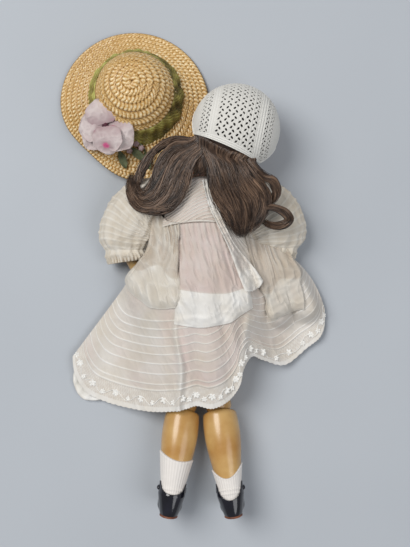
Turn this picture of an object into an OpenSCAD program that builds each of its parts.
// Bisque socket head doll on a strung composition body, lying face down, with its dress and straw hat.
// Millimetres. +Y runs to the head, +Z is up from the table, the table is z = 0, the doll's left is -X.

/* [Head] */
// Radius of the round back of the bisque head
head_radius = 44; // [42:0.5:45]
// Distance from the neck joint to the middle of the head
neck_length = 68; // [66:0.5:70]
// Sideways lean of the head at rest, in degrees
head_tilt = 37; // [32:1:42]
// Wall of the wig cap
wig_wall = 2.2; // [1.6:0.2:2.4]
// Wall of the crochet bonnet
bonnet_wall = 1.8; // [1.4:0.2:2]
// Radius of a glass eye
eye_radius = 8.1; // [7.6:0.1:8.2]

/* [Body] */
// Radius of the loose hip balls
hip_ball_radius = 19; // [18:0.5:19.5]
// Radius of the loose knee balls
knee_ball_radius = 15; // [14.5:0.25:15.5]
// Radius of the loose shoulder balls
shoulder_ball_radius = 13; // [12.5:0.25:13.5]
// Radius of the loose elbow balls
elbow_ball_radius = 10; // [9.5:0.25:10.25]
// Gap between each ball and its cup
ball_gap = 0.3; // [0.2:0.05:0.4]
// Radius of the stringing bores in the limbs
bore_radius = 4; // [3.5:0.25:4.5]
// Radius of the elastic cord
elastic_radius = 1.25; // [1:0.05:1.4]

/* [Clothes] */
// Thickness of one cloth layer
cloth = 1.2; // [1:0.1:1.3]
// Gap between two cloth layers
cloth_gap = 0.6; // [0.6:0.1:0.8]
// Height of the main folds in skirt and tunic
fold_height = 3; // [1.5:0.5:4]
// Wall of the knitted socks
sock_wall = 1.3; // [1:0.1:1.4]
// Wall of the shoe uppers
shoe_wall = 1.5; // [1.2:0.1:1.6]
// Thickness of the shoe soles
sole_thickness = 2.2; // [1.6:0.2:2.6]
// Number of back buttons
button_count = 3; // [2:1:4]

/* [Hat] */
// Radius of the straw brim
brim_radius = 88.5; // [85:0.5:89]
// Height of the straw crown above the brim
crown_height = 48; // [44:1:52]
// Number of braid rows on the brim
brim_rows = 6; // [5:1:7]

/* [Hidden] */
smooth_steps = 32;
axis_z = 34;
neck = [0, 112, axis_z];
neck_pitch = 14.8;
neck_ball = 17;
shoulder = [50, 92, axis_z];
elbow = [88, 36, 17];
wrist = [68, -8, 14];
fingertip = [60, -42, 9];
hip = [22, -60, 35];
knee = [20, -153, 23];
shin_length = 126;
shin_yaw = 7.9;
shin_pitch = -11;
toe_out = 12;
skin_gap = 0.2;
foot_floor = -shin_length + 4;
pelvis_end = -45;
hat_at = [-79.6, 196, 0];
eye_apart = 15.5 * head_radius / 44;
eye_level = -1 * head_radius / 44;
eye_depth = 32.5 * head_radius / 44;
wig_inner = head_radius + 0.3;
wig_outer = wig_inner + wig_wall;
bonnet_inner = wig_outer + 1.5;
bonnet_outer = bonnet_inner + bonnet_wall;
cord_radius = elastic_radius;
upper_arm_length = norm(elbow - shoulder);
forearm_length = norm(wrist - elbow);
hand_length = norm(fingertip - wrist);
thigh_length = norm(knee - hip);
wrist_ball = 7;
head_turn = [neck_pitch, 0, -head_tilt];
head_axis = [sin(head_tilt) * cos(neck_pitch), cos(head_tilt) * cos(neck_pitch), sin(neck_pitch)];
head_at = neck + neck_length * head_axis;
shin_axis = [sin(shin_yaw) * cos(shin_pitch), -cos(shin_yaw) * cos(shin_pitch), -sin(shin_pitch)];
hand_axis = (fingertip - wrist) / hand_length;

// Small helpers
function clamp01(t) = min(1, max(0, t));
function ease(t) = clamp01(t) * clamp01(t) * (3 - 2 * clamp01(t));
function mix(a, b, t) = a + (b - a) * t;
function unit(v) = v / norm(v);
function fall(d, w) = exp(-pow(abs(d) / w, 3));
function along_seg(p, a, b) = clamp01(((p - a) * (b - a)) / ((b - a) * (b - a)));
function seg_gap(p, a, b) = norm(p - a - (b - a) * along_seg(p, a, b));

// A point on a smooth line through a list of points, t from 0 to 1
function line_at(list, t) =
    let (n = len(list) - 1, s = clamp01(t) * n, i = min(n - 1, floor(s)), f = s - i)
    let (p0 = list[max(0, i - 1)], p1 = list[i], p2 = list[i + 1], p3 = list[min(n, i + 2)])
    0.5 * (2 * p1 + (p2 - p0) * f + (2 * p0 - 5 * p1 + 4 * p2 - p3) * f * f
        + (3 * p1 - p0 - 3 * p2 + p3) * f * f * f);

// Closed sheet over a grid: at(u, t) gives the underside, u from -1 to 1, t from 0 to 1
module sheet(at, nu, nt, thick) {
    low = [for (i = [0 : nt]) for (j = [0 : nu]) at(2 * j / nu - 1, i / nt)];
    top = [for (p = low) p + [0, 0, thick]];
    count = len(low);
    w = nu + 1;
    rim = concat(
        [for (j = [0 : nu - 1]) j],
        [for (i = [0 : nt - 1]) i * w + nu],
        [for (j = [nu : -1 : 1]) nt * w + j],
        [for (i = [nt : -1 : 1]) i * w]);
    n = len(rim);
    upper = [for (i = [0 : nt - 1]) for (j = [0 : nu - 1]) let (a = count + i * w + j)
        each [[a, a + 1, a + w + 1], [a, a + w + 1, a + w]]];
    lower = [for (i = [0 : nt - 1]) for (j = [0 : nu - 1]) let (a = i * w + j)
        each [[a, a + w + 1, a + 1], [a, a + w, a + w + 1]]];
    side = [for (k = [0 : n - 1]) let (p = rim[k], q = rim[(k + 1) % n])
        each [[q + count, p + count, p], [q + count, p, q]]];
    polyhedron(points = concat(low, top), faces = concat(upper, lower, side), convexity = 8);
}

// Rings of a tube along a smooth path: half width and half thickness follow the path
function tube_ring(c, d, wide, high, n) =
    let (side = unit(cross([0, 0, 1], d)), up = cross(d, side))
    [for (k = [0 : n - 1]) c + wide * cos(360 * k / n) * side + high * sin(360 * k / n) * up];

function tube_rings(path, wide, high, steps, n) =
    [for (i = [0 : steps]) let (t = i / steps, e = 0.01)
        tube_ring(line_at(path, t), unit(line_at(path, t + e) - line_at(path, t - e)),
            line_at(wide, t), line_at(high, t), n)];

function ring_faces(rows, n, start, flip) =
    [for (i = [0 : rows - 2]) for (k = [0 : n - 1])
        let (a = start + i * n + k, b = start + i * n + (k + 1) % n)
        each flip ? [[a, b, b + n], [a, b + n, a + n]] : [[a, a + n, b + n], [a, b + n, b]]];

module solid_tube(rings) {
    n = len(rings[0]);
    rows = len(rings);
    faces = concat(ring_faces(rows, n, 0, false),
        [[for (k = [0 : n - 1]) k]],
        [[for (k = [n - 1 : -1 : 0]) (rows - 1) * n + k]]);
    polyhedron(points = [for (r = rings) each r], faces = faces, convexity = 6);
}

module open_tube(outer, inner) {
    n = len(outer[0]);
    ro = len(outer);
    ri = len(inner);
    base = ro * n;
    first = [for (k = [0 : n - 1]) let (q = (k + 1) % n) each [[k, q, base + q], [k, base + q, base + k]]];
    last = [for (k = [0 : n - 1])
        let (q = (k + 1) % n, a = (ro - 1) * n + k, b = (ro - 1) * n + q)
        let (c = base + (ri - 1) * n + k, d = base + (ri - 1) * n + q)
        each [[a, d, b], [a, c, d]]];
    faces = concat(ring_faces(ro, n, 0, false), ring_faces(ri, n, base, true), first, last);
    points = concat([for (r = outer) each r], [for (r = inner) each r]);
    polyhedron(points = points, faces = faces, convexity = 8);
}

// Turns local +Z to point from a to b, with the origin at a
module aim(a, b) {
    d = b - a;
    translate(a) rotate([0, acos(d[2] / norm(d)), atan2(d[1], d[0])]) children();
}

module mirrored() {
    mirror([1, 0, 0]) children();
}

module limb(profile) {
    rotate_extrude($fn = smooth_steps) polygon(profile);
}

module wire_ring(r, wire) {
    rotate_extrude($fn = 24) translate([r, 0]) circle(r = wire, $fn = 16);
}

module in_head() {
    translate(head_at) rotate(head_turn) children();
}

module on_shin() {
    translate(knee) rotate([shin_pitch, 0, shin_yaw]) children();
}

module in_foot() {
    on_shin() rotate([0, -toe_out, 0]) children();
}

// Head: rows of [height, half width, front depth, back depth]
function back_of(y) = sqrt(max(1, head_radius * head_radius - y * y));
jaw_wide = [[-46, 13.2], [-42, 15], [-39, 19], [-36, 23], [-32, 27.5], [-28, 31.5], [-22, 36], [-15, 39.5],
    [-8, 41.6], [0, 43.2], [8, 43.2]];
face_deep = [[-46, 13.5], [-43, 18], [-40.5, 27], [-38, 34], [-34, 38], [-29, 38.6], [-25, 38.8],
    [-18, 39.3],
    [-9, 40], [3, 40.6], [8, 41.8], [15, 41.2]];
nape_deep = [[-46, 14], [-40, 19], [-34, 27.9], [-28, 33.9]];
nose_out = [[-17, 0], [-14.5, 4.2], [-12, 7.2], [-9, 6.6], [-5, 4.4], [-1, 2.6], [4, 1], [9, 0]];
lips_out = [[-29, 0], [-26, 1.3], [-23.5, 0.5], [-21.5, 1.5], [-18, 0]];
chin_out = [[-38, 0], [-34, 1.6], [-29, 0]];
ratio = head_radius / 44;
neck_rows = [[-16.2, 5], [-13, 10.9], [-7.2, 15.4], [0, neck_ball], [8, 15], [14, 13.2]];
face_rows = [-46, -43, -40.5, -38, -34, -29, -26, -23.5, -21.5, -18, -14.5, -12, -9, -5, -1, 4, 9];
crown_rows = [15, 23, 30, 36, 38.1];
head_steps = 36;
function turn_at(k) = let (t = 2 * k / head_steps - 1) 180 * sign(t) * pow(abs(t), 1.35);
function face_ring(y) =
    let (a = lookup(y, jaw_wide), f = lookup(y, face_deep))
    let (b = y > -28 ? 44 * back_of(y * ratio) / head_radius : lookup(y, nape_deep))
    [for (k = [0 : head_steps - 1]) let (v = turn_at(k), x = a * sin(v), front = cos(v) > 0)
        let (nose = front ? lookup(y, nose_out) * exp(-pow(x / (4.6 - 0.09 * (y + 12)), 2)) : 0)
        let (lips = front ? lookup(y, lips_out) * exp(-pow(x / 7, 2)) : 0)
        let (chin = front ? lookup(y, chin_out) * exp(-pow(x / 9, 2)) : 0)
        ratio * [x, y, -(front ? f : b) * cos(v) - nose - lips - chin]];
function round_ring(y, r) =
    [for (k = [0 : head_steps - 1]) let (v = turn_at(k)) [r * sin(v), y, -r * cos(v)]];
head_outer = concat(
    [for (p = neck_rows) round_ring(p[0] - neck_length, p[1])],
    [for (y = face_rows) face_ring(y)],
    [for (y = crown_rows) round_ring(y * ratio, back_of(y * ratio))]);
inner_rows = [[-12 - neck_length, 5], [-neck_length, 12.6], [14 - neck_length, 9], [-42, 9],
    ratio * [-28, 22.5], ratio * [-12, 32], ratio * [6, 33.5], ratio * [24, 25], ratio * [38.1, 18]];
head_inner = [for (p = inner_rows) round_ring(p[0], p[1])];

module bisque_head() {
    color("#f0d4c2") in_head() difference() {
        open_tube(head_outer, head_inner);
        for (s = [-1, 1]) translate([s * eye_apart, eye_level, -eye_depth])
            sphere(r = eye_radius + ball_gap, $fn = smooth_steps);
    }
}

module pate() {
    color("#b98a5a") in_head() rotate([-90, 0, 0]) {
        intersection() {
            sphere(r = head_radius, $fn = smooth_steps);
            translate([0, 0, 38.1 * ratio + 0.1]) cylinder(r = head_radius, h = 10, $fn = smooth_steps);
        }
        translate([0, 0, 33 * ratio]) cylinder(r = 15.5 * ratio, h = 6.1 * ratio, $fn = smooth_steps);
    }
}

module half_shell(outer, inner, front, low) {
    difference() {
        sphere(r = outer, $fn = smooth_steps);
        sphere(r = inner, $fn = smooth_steps);
        rotate([front, 0, 0]) translate([-70, -70, -140 - low]) cube([140, 140, 140]);
    }
}

module wig_cap() {
    color("#4a382e") in_head() half_shell(wig_outer, wig_inner, -42, 4);
}

module bonnet() {
    color("#e6e4de") in_head() half_shell(bonnet_outer, bonnet_inner, -42, -6);
}

left_lock_path = [[7.1, 132.9, 70.05], [-10, 128, 63], [-34, 127, 52], [-56, 120, 49], [-68, 105, 53],
    [-66, 88, 61.5],
    [-49, 78, 67], [-27, 80, 74]];
left_lock_wide = [4, 9, 14, 14, 12, 11, 9, 4];
left_lock_high = [3, 4.5, 6, 6.5, 6, 6, 5.5, 3];
right_lock_path = [[42.2, 119.7, 72.4], [38.5, 107, 72], [43, 93, 70], [46, 72, 69], [44, 42, 66]];
right_lock_wide = [11, 20, 20, 13, 3];
right_lock_high = [3, 5, 6, 6, 2.5];
curl_path = [[54, 100, 70], [68, 92, 70], [86, 82, 68], [98, 70, 67], [92, 58, 66], [80, 60, 66]];
curl_wide = [8, 7, 5.5, 5, 4.5, 2.5];
curl_high = [4, 4.5, 4.5, 4, 4, 2];

module left_lock() {
    color("#5c4a3e") solid_tube(tube_rings(left_lock_path, left_lock_wide, left_lock_high, 16, 12));
}

module right_lock() {
    color("#5c4a3e") {
        solid_tube(tube_rings(right_lock_path, right_lock_wide, right_lock_high, 10, 14));
        solid_tube(tube_rings(curl_path, curl_wide, curl_high, 12, 10));
    }
}

module eye_ball(s) {
    in_head() translate([s * eye_apart, eye_level, -eye_depth]) sphere(r = eye_radius, $fn = smooth_steps);
}

module left_eye() {
    color("#6a88a8") eye_ball(-1);
}

module right_eye() {
    color("#6a88a8") eye_ball(1);
}

weight_at = ratio * [0, -7, -17];
module eye_rocker() {
    color("#85878a") in_head() difference() {
        union() {
            for (s = [-1, 1]) aim([s * eye_apart, eye_level, -eye_depth], weight_at)
                cylinder(r = 1.1, h = norm(weight_at - [s * eye_apart, eye_level, -eye_depth]), $fn = 16);
            translate(weight_at) sphere(r = 4.5, $fn = 24);
        }
        for (s = [-1, 1]) translate([s * eye_apart, eye_level, -eye_depth])
            sphere(r = eye_radius + 0.02, $fn = smooth_steps);
    }
}

module neck_hook() {
    color("#8d8f92") in_head() translate([0, -neck_length, 0]) rotate([90, 0, 0]) {
        cylinder(r = 8.6, h = 6, $fn = smooth_steps);
        cylinder(r = 1.2, h = 9.4, $fn = 16);
        translate([0, 0, 11.6]) rotate([90, 0, 0]) wire_ring(2.4, 0.8);
    }
}

// Torso
module pair(p, r) {
    for (s = [-1, 1]) translate([s * p[0], p[1], p[2]]) sphere(r = r, $fn = 24);
}

module torso() {
    color("#d8b27c") difference() {
        intersection() {
            union() {
                hull() {
                    pair([9, 70, axis_z], 31);
                    pair([27, 88, axis_z], 17);
                    translate([0, 90, axis_z]) sphere(r = 24, $fn = 24);
                    pair([9, 25, axis_z], 27);
                }
                hull() {
                    pair([9, 25, axis_z], 27);
                    pair([13, pelvis_end + 20, axis_z], 31);
                }
            }
            translate([-60, pelvis_end, -10]) cube([120, 200, 100]);
        }
        intersection() {
            hull() {
                pair([7, 64, axis_z], 22);
                pair([7, 25, axis_z], 21);
                pair([13, pelvis_end + 25, axis_z], 25);
            }
            translate([-60, pelvis_end + 12, -10]) cube([120, 200, 100]);
        }
        translate(neck) sphere(r = neck_ball + ball_gap, $fn = smooth_steps);
        translate([0, 70, axis_z]) rotate([-90, 0, 0]) cylinder(r = 14.6, h = 32, $fn = smooth_steps);
        for (s = [-1, 1]) {
            translate([s * hip[0], hip[1], hip[2]])
                sphere(r = hip_ball_radius + ball_gap, $fn = smooth_steps);
            translate([s * hip[0], hip[1], hip[2]]) rotate([-90, 0, 0])
                cylinder(r = bore_radius + 1, h = 40, $fn = smooth_steps);
            translate([s * shoulder[0], shoulder[1], axis_z])
                sphere(r = shoulder_ball_radius + ball_gap, $fn = smooth_steps);
        }
        translate([-shoulder[0], shoulder[1], axis_z]) rotate([0, 90, 0])
            cylinder(r = bore_radius, h = 2 * shoulder[0], $fn = smooth_steps);
    }
}

// Loose ball with one straight bore
module bored_ball(c, r, d) {
    difference() {
        translate(c) sphere(r = r, $fn = smooth_steps);
        aim(c - 2 * r * unit(d), c) cylinder(r = bore_radius, h = 4 * r, $fn = smooth_steps);
    }
}

// Loose ball with two bores that meet in the middle, for a bent joint
module bent_ball(c, r, a, b) {
    difference() {
        translate(c) sphere(r = r, $fn = smooth_steps);
        aim(c, a) translate([0, 0, -1.5]) cylinder(r = bore_radius - 0.4, h = 2 * r, $fn = smooth_steps);
        aim(c, b) translate([0, 0, -1]) cylinder(r = bore_radius - 0.8, h = 2 * r, $fn = smooth_steps);
    }
}

module shoulder_ball() {
    difference() {
        translate(shoulder) sphere(r = shoulder_ball_radius, $fn = smooth_steps);
        translate(shoulder) sphere(r = bore_radius - 0.5, $fn = smooth_steps);
        aim(shoulder, shoulder - [40, 0, 0]) cylinder(r = bore_radius - 0.5, h = 40, $fn = smooth_steps);
        aim(shoulder, elbow) cylinder(r = bore_radius - 0.5, h = 40, $fn = smooth_steps);
    }
}

module elbow_ball() {
    bent_ball(elbow, elbow_ball_radius, shoulder, wrist);
}

module hip_ball() {
    bored_ball(hip, hip_ball_radius, knee - hip - [0, 60, 0]);
}

module knee_ball() {
    bored_ball(knee, knee_ball_radius, unit(knee - hip) + shin_axis);
}

module left_shoulder_ball() {
    color("#c99c5e") mirrored() shoulder_ball();
}

module right_shoulder_ball() {
    color("#c99c5e") shoulder_ball();
}

module left_elbow_ball() {
    color("#c99c5e") mirrored() elbow_ball();
}

module right_elbow_ball() {
    color("#c99c5e") elbow_ball();
}

module left_hip_ball() {
    color("#c99c5e") mirrored() hip_ball();
}

module right_hip_ball() {
    color("#c99c5e") hip_ball();
}

module left_knee_ball() {
    color("#c99c5e") mirrored() knee_ball();
}

module right_knee_ball() {
    color("#c99c5e") knee_ball();
}

module upper_arm() {
    aim(shoulder, elbow) difference() {
        limb([[0, 8], [11.8, 8], [12.4, 14], [12.2, 26], [11, 44], [9.8, 58], [9, upper_arm_length - 7],
            [0, upper_arm_length - 7]]);
        sphere(r = shoulder_ball_radius + ball_gap, $fn = smooth_steps);
        translate([0, 0, upper_arm_length]) sphere(r = elbow_ball_radius + ball_gap, $fn = smooth_steps);
        cylinder(r = bore_radius, h = upper_arm_length, $fn = smooth_steps);
    }
}

module left_upper_arm() {
    color("#c99c5e") mirrored() upper_arm();
}

module right_upper_arm() {
    color("#c99c5e") upper_arm();
}

module forearm() {
    aim(elbow, wrist) difference() {
        limb([[0, 7], [9, 7], [9.8, 14], [9.4, 24], [8, 36], [7, forearm_length - 5],
            [0, forearm_length - 5]]);
        sphere(r = elbow_ball_radius + ball_gap, $fn = smooth_steps);
        translate([0, 0, forearm_length]) sphere(r = wrist_ball + ball_gap, $fn = smooth_steps);
        cylinder(r = bore_radius, h = forearm_length, $fn = smooth_steps);
        translate([0, 0, forearm_length - 13]) cylinder(r = 5.4, h = 13, $fn = smooth_steps);
    }
}

module left_forearm() {
    color("#c99c5e") mirrored() forearm();
}

module right_forearm() {
    color("#c99c5e") forearm();
}

// Hand: wrist ball, palm and five fingers, palm down
module in_hand() {
    translate(wrist) rotate([asin(-hand_axis[2]), 0, atan2(hand_axis[0], -hand_axis[1])]) children();
}

module finger(x, y, z, turn, long, r) {
    translate([x, y, z]) rotate([90 - 12, 0, turn]) {
        cylinder(r1 = r, r2 = r * 0.85, h = long, $fn = 14);
        translate([0, 0, long]) sphere(r = r * 0.85, $fn = 14);
    }
}

module hand() {
    difference() {
        in_hand() union() {
            sphere(r = wrist_ball, $fn = smooth_steps);
            hull() {
                sphere(r = 5, $fn = 20);
                translate([-5.4, -15, 0]) sphere(r = 4.2, $fn = 20);
                translate([5.4, -15, 0]) sphere(r = 3.8, $fn = 20);
            }
            finger(-6.8, -15, 0, -5, 11, 2.2);
            finger(-2.4, -16, 0, -2, 13.5, 2.3);
            finger(2, -16, 0, 2, 12.5, 2.2);
            finger(6.2, -15, 0, 6, 9, 2);
            finger(-6.5, -8, -1, -48, 9, 2.3);
        }
        aim(wrist, elbow) translate([0, 0, -2]) cylinder(r = 1, h = 20, $fn = 16);
    }
}

module left_hand() {
    color("#d0a468") mirrored() hand();
}

module right_hand() {
    color("#d0a468") hand();
}

module hand_hook() {
    aim(wrist, elbow) {
        translate([0, 0, -1.5]) cylinder(r = 0.8, h = 9, $fn = 16);
        translate([0, 0, 8.4]) rotate([90, 0, 0]) wire_ring(1.2, 0.5);
    }
}

module left_hand_hook() {
    color("#8d8f92") mirrored() hand_hook();
}

module right_hand_hook() {
    color("#8d8f92") hand_hook();
}

// Legs
module thigh() {
    aim(hip, knee) difference() {
        limb([[0, 9], [19.6, 9], [21, 18], [21, 34], [19.4, 54], [16.8, 74], [15.4, thigh_length - 9.5],
            [0, thigh_length - 9.5]]);
        sphere(r = hip_ball_radius + ball_gap, $fn = smooth_steps);
        translate([0, 0, thigh_length]) sphere(r = knee_ball_radius + ball_gap, $fn = smooth_steps);
        cylinder(r = bore_radius + 0.5, h = thigh_length, $fn = smooth_steps);
    }
}

module left_thigh() {
    color("#c99c5e") mirrored() thigh();
}

module right_thigh() {
    color("#c99c5e") thigh();
}

module foot_form(g, floor) {
    intersection() {
        hull() {
            translate([0, -114, 0]) sphere(r = 11.5 + g, $fn = 24);
            translate([0, -103, -9]) sphere(r = 9.5 + g, $fn = 24);
            translate([0, -116, -34]) sphere(r = 8 + g, $fn = 24);
        }
        translate([-40, floor, -80]) cube([80, 80, 120]);
    }
}

module leg_form(g, from) {
    rotate([90, 0, 0]) limb([[0, from], [mix(15.4, 18 + g, clamp01((from - 9.5) / 8)), from],
        [18.2 + g, max(from + 0.2, 22)], [19.2 + g, max(from + 0.4, 38)], [18.8 + g, max(from + 0.6, 50)],
        [15.8 + g, 72], [12.6 + g, 92], [12 + g, 104], [0, 104]]);
}

module lower_leg() {
    difference() {
        union() {
            on_shin() leg_form(0, 9.5);
            in_foot() foot_form(0, foot_floor);
        }
        translate(knee) sphere(r = knee_ball_radius + ball_gap, $fn = smooth_steps);
        on_shin() rotate([90, 0, 0]) cylinder(r = bore_radius + 0.5, h = 34, $fn = smooth_steps);
        on_shin() translate([-9, -29, 0]) rotate([0, 90, 0]) cylinder(r = 1.2, h = 18, $fn = 16);
    }
}

module left_lower_leg() {
    color("#c99c5e") mirrored() lower_leg();
}

module right_lower_leg() {
    color("#c99c5e") lower_leg();
}

module leg_hook() {
    on_shin() {
        translate([-8.6, -29, 0]) rotate([0, 90, 0]) cylinder(r = 1, h = 17.2, $fn = 16);
        translate([0, -26, 0]) rotate([0, 90, 0]) wire_ring(2.6, 0.8);
    }
}

module left_leg_hook() {
    color("#8d8f92") mirrored() leg_hook();
}

module right_leg_hook() {
    color("#8d8f92") leg_hook();
}

// Sock: its top line dips at the calf
sock_top = 58;
sock_slant = 28;
function sock_profile(g, from) = [[0, from], [19.1 + g, from], [18.8 + g, 50], [15.8 + g, 72],
    [12.6 + g, 92],
    [12 + g, 104], [0, 104 + g]];

module sock() {
    difference() {
        union() {
            on_shin() rotate([90, 0, 0]) limb(sock_profile(skin_gap + sock_wall, 46));
            in_foot() foot_form(skin_gap + sock_wall, foot_floor - skin_gap - sock_wall);
        }
        on_shin() rotate([90, 0, 0]) limb(sock_profile(skin_gap, 45));
        in_foot() foot_form(skin_gap, foot_floor - skin_gap);
        on_shin() translate([0, -sock_top, 0]) rotate([sock_slant, 0, 0]) translate([-40, 0, -60])
            cube([80, 60, 120]);
    }
}

module left_sock() {
    color("#dcdad4") mirrored() sock();
}

module right_sock() {
    color("#dcdad4") sock();
}

// Shoe: low at the heel, open at the instep, with two ankle tabs for the strap
shoe_inner = skin_gap + sock_wall + 0.3;
shoe_floor = foot_floor - shoe_inner;
ankle_inner = 12 + shoe_inner;
strap_inner = ankle_inner + 2.6;
strap_level = -89.5;

module ankle_ring(inner, outer, top, low) {
    translate([0, top, 0]) rotate([90, 0, 0]) difference() {
        cylinder(r = outer, h = top - low, $fn = smooth_steps);
        translate([0, 0, -1]) cylinder(r = inner, h = top - low + 2, $fn = smooth_steps);
    }
}

module ankle_tabs() {
    intersection() {
        ankle_ring(ankle_inner + 0.9, ankle_inner + 2, strap_level, -111);
        translate([-30, -120, -12]) cube([60, 40, 10]);
    }
}

module shoe_upper() {
    in_foot() difference() {
        union() {
            foot_form(shoe_inner + shoe_wall, shoe_floor - shoe_wall);
            ankle_tabs();
        }
        foot_form(shoe_inner, shoe_floor);
        translate([0, -106, 0]) rotate([-90, 0, 0]) cylinder(r = ankle_inner, h = 40, $fn = smooth_steps);
        translate([0, -99, 0]) rotate([-90, 0, 0])
            cylinder(r = ankle_inner + 0.7, h = 40, $fn = smooth_steps);
        translate([0, shoe_floor + 30, 0]) rotate([40, 0, 0]) translate([-40, 0, -60]) cube([80, 60, 120]);
        translate([0, shoe_floor + 13, -14]) rotate([-90, 0, 0])
            cylinder(r = 9.5, h = 60, $fn = smooth_steps);
        translate([-40, shoe_floor + 26.5, -72.1]) cube([80, 60, 60]);
    }
}

module left_shoe_upper() {
    color("#1a1a22") mirrored() shoe_upper();
}

module right_shoe_upper() {
    color("#1a1a22") shoe_upper();
}

heel_round = 11.5 + shoe_inner - 1;
toe_round = 8 + shoe_inner;
sole_edge = concat(
    [for (v = [0 : 15 : 180]) heel_round * [cos(v), sin(v)]],
    [for (v = [180 : 15 : 360]) [0, -33] + toe_round * [cos(v), sin(v)]]);
module shoe_sole() {
    in_foot() translate([0, shoe_floor - shoe_wall - 0.1, 0]) rotate([90, 0, 0])
        linear_extrude(height = sole_thickness) polygon(sole_edge);
}

module left_shoe_sole() {
    color("#7a4a30") mirrored() shoe_sole();
}

module right_shoe_sole() {
    color("#7a4a30") shoe_sole();
}

module shoe_strap() {
    in_foot() intersection() {
        translate([0, 0, -4])
            ankle_ring(strap_inner, strap_inner + 1.2, strap_level - 0.5, strap_level - 5);
        translate([-30, -120, -30]) cube([60, 40, 30]);
    }
}

module left_shoe_strap() {
    color("#1a1a22") mirrored() shoe_strap();
}

module right_shoe_strap() {
    color("#1a1a22") shoe_strap();
}

// Cloth: height of the body under the back layers
back_high = [[-165, 42], [-140, 46], [-110, 54], [-90, 58], [-70, 59], [-45, 61], [-28, 66.4],
    [-18, 66], [0, 64],
    [25, 61.6], [45, 63.6], [60, 65], [70, 65.2], [80, 63.6], [90, 60], [98, 57], [104, 54], [112, 48]];
back_wide = [[-165, 76], [-100, 72], [-20, 70], [25, 64], [45, 66], [112, 68]];
function arm_mound(x, y) = let (s = [abs(x), y], e = [elbow[0], elbow[1]], w = [wrist[0], wrist[1]])
    27 * fall(min(seg_gap(s, e, w), seg_gap(s, w, [fingertip[0], fingertip[1]])), 24);
function mound(x, y) = let (body = lookup(y, back_high) * fall(x, lookup(y, back_wide)))
    max(body, arm_mound(x, y)) + 0.35 * min(body, arm_mound(x, y));
layer = cloth + cloth_gap;
function lift(x, y) = let (m = mound(x, y)) m + under_back + 3.1 * exp(-m / 8);
under_back = 0.5;
function folds(u, t, n, bend) = fold_height * ease((t - 0.05) / 0.5)
    * (0.5 + 0.5 * cos(360 * n * u + bend * t));

petticoat_hem = [[-138, -92], [-152, -122], [-141, -148], [-112, -150], [-84, -152], [-58, -152],
    [-28, -144],
    [0, -139], [27, -136], [39, -124], [44, -108], [58, -86], [96, -92], [122, -76], [130, -50]];
skirt_hem = [[-152, -98], [-149, -118], [-136, -140], [-112, -151], [-84, -157], [-58, -159], [-36, -154],
    [-18, -149], [-4, -147], [13, -148], [27, -144], [39, -134], [46, -121], [49, -106], [59, -95],
        [72, -100],
    [99, -107], [126, -87], [140, -75], [146, -60], [146, -42]];
tunic_hem = [[-87, 4], [-83, -6], [-71, -16], [-54, -28], [-38, -39], [-29, -48], [-20, -57],
    [0, -60], [26, -57],
    [46, -50], [57, -40], [66, -32], [76, -32], [86, -39], [98, -45], [118, -40], [126, -18]];

function petticoat_at(u, t) =
    let (w = [42 * u, 22 - 10 * u * u], h = line_at(petticoat_hem, (u + 1) / 2), p = mix(w, h, t))
    [p[0], p[1], lift(p[0], p[1])];
function skirt_at(u, t) =
    let (w = [45 * u, 61 - 16 * u * u], h = line_at(skirt_hem, (u + 1) / 2), p = mix(w, h, t))
    [p[0], p[1], lift(p[0], p[1]) + layer + 1.1 * ease(t / 0.3) + folds(u, t, 3.5, 60)];
function tunic_at(u, t) =
    let (w = [44.5 * u, 61.5 - 16 * u * u], h = line_at(tunic_hem, (u + 1) / 2), p = mix(w, h, t))
    [p[0], p[1], lift(p[0], p[1]) + 2 * layer + (fold_height + 2.1) * ease(t / 0.3) + folds(u, t, 4.5, 40)];
function yoke_at(u, t) =
    let (w = [36 * u, 103 - 9 * u * u], h = [44 * u, 60.5 - 8 * u * u], p = mix(w, h, t))
    [p[0], p[1], mound(p[0], p[1]) + cloth_gap];

module petticoat_back() {
    color("#e9e6df") sheet(function(u, t) petticoat_at(u, t), 28, 10, cloth);
}

module skirt_back() {
    color("#d8d0c6") sheet(function(u, t) skirt_at(u, t), 40, 13, cloth);
}

module tunic_back() {
    color("#e0dad0") sheet(function(u, t) tunic_at(u, t), 32, 10, cloth);
}

module yoke_back() {
    color("#d8d0c6") sheet(function(u, t) yoke_at(u, t), 16, 8, cloth);
}

placket_half = 5;
function placket_at(u, t) = let (y = mix(99, 63, t), x = 8 + placket_half * u + 6 * t)
    [x, y, mound(x, y) + cloth_gap + cloth + 0.3];

module placket() {
    color("#efece4") sheet(function(u, t) placket_at(u, t), 6, 8, 1);
}

module back_buttons() {
    color("#e8e2d6") for (i = [0 : button_count - 1]) let (t = (i + 0.5) / button_count, y = mix(99, 63, t))
        translate([8 + 6 * t, y, mound(8 + 6 * t, y) + cloth_gap + cloth + 2.2])
            cylinder(r = 2.4, h = 1.2, $fn = 24);
}

module flat_panel(edge, z) {
    translate([0, 0, z]) linear_extrude(height = cloth) polygon(edge);
}

front_edge = [[-30, 104], [30, 104], [42, 92], [40, 60], [46, -34], [-46, -34], [-40, 60], [-42, 92]];
module dress_front() {
    color("#e0dad0") linear_extrude(height = axis_z - 31 - 0.4) polygon(front_edge);
}

module skirt_front() {
    color("#d8d0c6") flat_panel([[-60, -52], [60, -52], [110, -60], [128, -80], [98, -100], [60, -92],
        [45, -116],
        [24, -140], [-16, -144], [-60, -152], [-112, -146], [-142, -112], [-128, -70]], 0.3);
}

module petticoat_front() {
    color("#e9e6df") flat_panel([[-56, -54], [56, -54], [100, -60], [118, -74], [96, -86], [58, -82],
        [42, -108],
        [24, -132], [-16, -138], [-60, -144], [-108, -142], [-136, -112], [-118, -70]], 0.3 + layer);
}

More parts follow.
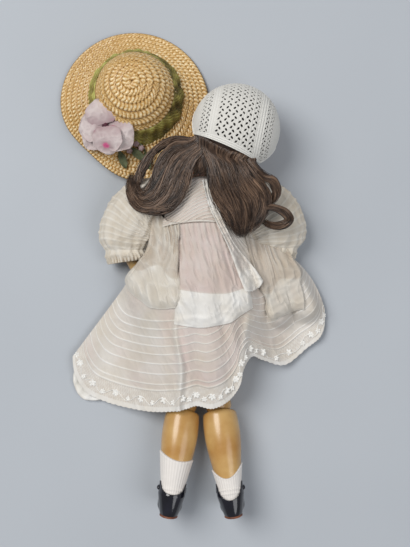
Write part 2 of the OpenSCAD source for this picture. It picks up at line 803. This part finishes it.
// Puffed sleeves on the upper arms
sleeve_path = [[52, 87.5, 31], [68, 79, 28], [81, 62, 26], [90, 43, 23], [87, 24, 18]];
sleeve_turn = [0, -25, -55, -82, -98];
sleeve_wide = [23, 29.5, 33, 28, 20];
sleeve_high = [20, 25.5, 25, 21.5, 16];
sleeve_steps = 20;
function sleeve_ring(t, less) =
    let (c = line_at(sleeve_path, t), a = line_at(sleeve_turn, t), d = [cos(a), sin(a), 0])
    let (w = line_at(sleeve_wide, t) - less, h = line_at(sleeve_high, t) - less)
    let (side = cross([0, 0, 1], d))
    [for (k = [0 : sleeve_steps - 1]) let (v = 360 * k / sleeve_steps)
        let (f = 1 - 0.05 * sin(180 * t) * (k % 2))
        c + w * f * cos(v) * side + h * f * sin(v) * [0, 0, 1]];

module sleeve() {
    open_tube([for (i = [0 : 8]) sleeve_ring(i / 8, 0)], [for (i = [0 : 8]) sleeve_ring(i / 8, cloth)]);
}

module left_sleeve() {
    color("#ddd6cb") mirrored() sleeve();
}

module right_sleeve() {
    color("#ddd6cb") sleeve();
}

// Elastic cords through the bores
arm_axis = unit(elbow - shoulder);
fore_axis = unit(wrist - elbow);
function flip(p) = [-p[0], p[1], p[2]];
arm_half = [wrist - 11.2 * fore_axis, wrist - 24 * fore_axis, elbow + 12 * fore_axis, elbow + 5 * fore_axis,
    elbow - 5 * arm_axis, elbow - 14 * arm_axis, shoulder + 30 * arm_axis, shoulder + 13 * arm_axis,
    shoulder + 5 * arm_axis - [1, 0, 0], shoulder - [8, 0, 0], shoulder - [20, 0, 0], [16, 92, axis_z]];
arm_path = concat([for (p = arm_half) flip(p)], [for (i = [len(arm_half) - 1 : -1 : 0]) arm_half[i]]);
leg_axis = unit(knee - hip);
hook_eye = neck - 15.6 * head_axis;
function leg_path(s) =
    [knee + 21.8 * shin_axis, knee + 12 * shin_axis, knee + 4 * shin_axis, knee - 5 * leg_axis,
    knee - 16 * leg_axis, hip + 40 * leg_axis, hip + 14 * leg_axis, hip + 4 * leg_axis, hip + [0, 6, 0],
    hip + [0, 18, 0], [hip[0] - 1, -26, axis_z + 1], [12, 20, axis_z], [5, 62, axis_z],
    [s * hook_eye[0] + 1.6, hook_eye[1] - 9, hook_eye[2] - 1],
    [s * hook_eye[0] + 1.6, hook_eye[1] - 2, hook_eye[2] - 1]];

module cord(path, steps) {
    solid_tube(tube_rings(path, [cord_radius, cord_radius], [cord_radius, cord_radius], steps, 8));
}

module arm_elastic() {
    color("#c9c2b4") cord(arm_path, 46);
}

module left_leg_elastic() {
    color("#c9c2b4") mirrored() cord(leg_path(-1), 28);
}

module right_leg_elastic() {
    color("#c9c2b4") cord(leg_path(1), 28);
}

// Hat: rows of straw braid lap one another like shingles; the crown leans back and the brim turns
// up at the front
straw = 2;
lap = 1.2;
brim_rise = 9;
crown_base = 50.5;
crown_shift = [3, 11.6];
crown_lean = [-2.6, 10.4];
turn_up_at = 226;
turn_up_wide = 36;
turn_up_high = 15;
turn_up_share = 0.16;
hat_steps = 40;
crown_rings = [[46.5, 0.177], [44, 0.333], [40.5, 0.49], [36, 0.635], [30.5, 0.77], [24, 0.875],
    [17, 0.942],
    [10, 0.983], [2.4, 1]];
// Each row: radius, height, and the shift of its middle
hat_rows = concat(
    [for (i = [0 : brim_rows]) let (t = i / brim_rows)
        [mix(brim_radius, crown_base, t), straw + 0.2 + brim_rise * pow(t, 1.6), crown_shift[0] * t,
            crown_shift[1] * pow(t, 1.1)]],
    [for (c = crown_rings) [c[0], brim_rise + c[1] * crown_height, crown_shift[0] + crown_lean[0] * c[1],
        crown_shift[1] + crown_lean[1] * c[1]]]);
hat_last = len(hat_rows) - 1;
function hat_normal(a, b) = unit([b[1] - a[1], a[0] - b[0]]);
function hat_row(s) = let (i = min(hat_last - 1, max(0, floor(s))))
    mix(hat_rows[i], hat_rows[i + 1], s - i);
function raised(row, n, d) = [row[0] + d * n[0], row[1] + d * n[1], row[2], row[3]];
function turn_up(a) = exp(-pow(((a - turn_up_at + 540) % 360 - 180) / turn_up_wide, 2));
function hat_ring(row) =
    let (edge = pow(clamp01((row[0] - crown_base) / (brim_radius - crown_base)), 1.5))
    [for (k = [0 : hat_steps - 1]) let (a = 360 * k / hat_steps, b = edge * turn_up(a))
        let (r = row[0] * (1 - turn_up_share * b))
        hat_at + [row[2] + r * cos(a), row[3] + r * sin(a), row[1] + turn_up_high * b]];
hat_over = [for (i = [0 : hat_last - 1]) let (n = hat_normal(hat_rows[i], hat_rows[i + 1]))
    each [raised(hat_rows[i], n, i == 0 ? lap / 2 : lap), raised(hat_rows[i + 1], n, 0)]];
hat_under = [for (i = [0 : hat_last])
    raised(hat_rows[i], hat_normal(hat_rows[max(0, i - 1)], hat_rows[min(hat_last, i + 1)]), -straw)];

module straw_hat() {
    color("#d0a45e") open_tube([for (r = hat_over) hat_ring(r)], [for (r = hat_under) hat_ring(r)]);
}

band_gap = 0.35;
band_span = 3;
function band_ring(s, d) =
    let (at = brim_rows - 1 + s)
    hat_ring(raised(hat_row(at), hat_normal(hat_row(at - 0.5), hat_row(at + 0.5)), lap + band_gap + d));
module hat_band() {
    color("#a2ac48") open_tube(
        [for (s = [0 : 0.5 : band_span]) band_ring(s, 1.2 + 3.2 * sin(180 * s / band_span))],
        [for (s = [0 : 0.5 : band_span]) band_ring(s, 0)]);
}

flower_turn = 216;
flower_at = hat_at + [-32, -27.6, 25.2];
module hat_flower() {
    color("#dac6cc") translate(flower_at) rotate([0, 30, flower_turn]) {
        for (i = [0 : 5]) rotate([0, 0, 60 * i]) translate([13, 0, 2]) rotate([0, -16, 0])
            scale([1, 0.78, 0.16]) sphere(r = 15, $fn = 10);
        sphere(r = 5, $fn = 10);
    }
}

module hat_leaves() {
    color("#4e4030") for (i = [0, 1])
        translate(hat_at + [-12 + 18 * i, -56, 12.45 + 0.45 * i]) rotate([0, -12, 62 + 36 * i])
            scale([1, 0.4, 0.12]) sphere(r = 12, $fn = 14);
}

torso();
neck_hook();
bisque_head();
pate();
wig_cap();
left_lock();
right_lock();
bonnet();
left_eye();
right_eye();
eye_rocker();
left_shoulder_ball();
right_shoulder_ball();
left_upper_arm();
right_upper_arm();
left_elbow_ball();
right_elbow_ball();
left_forearm();
right_forearm();
left_hand();
right_hand();
left_hand_hook();
right_hand_hook();
left_sleeve();
right_sleeve();
left_hip_ball();
right_hip_ball();
left_thigh();
right_thigh();
left_knee_ball();
right_knee_ball();
left_lower_leg();
right_lower_leg();
left_leg_hook();
right_leg_hook();
left_sock();
right_sock();
left_shoe_upper();
right_shoe_upper();
left_shoe_sole();
right_shoe_sole();
left_shoe_strap();
right_shoe_strap();
dress_front();
yoke_back();
placket();
back_buttons();
tunic_back();
skirt_back();
skirt_front();
petticoat_back();
petticoat_front();
arm_elastic();
left_leg_elastic();
right_leg_elastic();
straw_hat();
hat_band();
hat_flower();
hat_leaves();
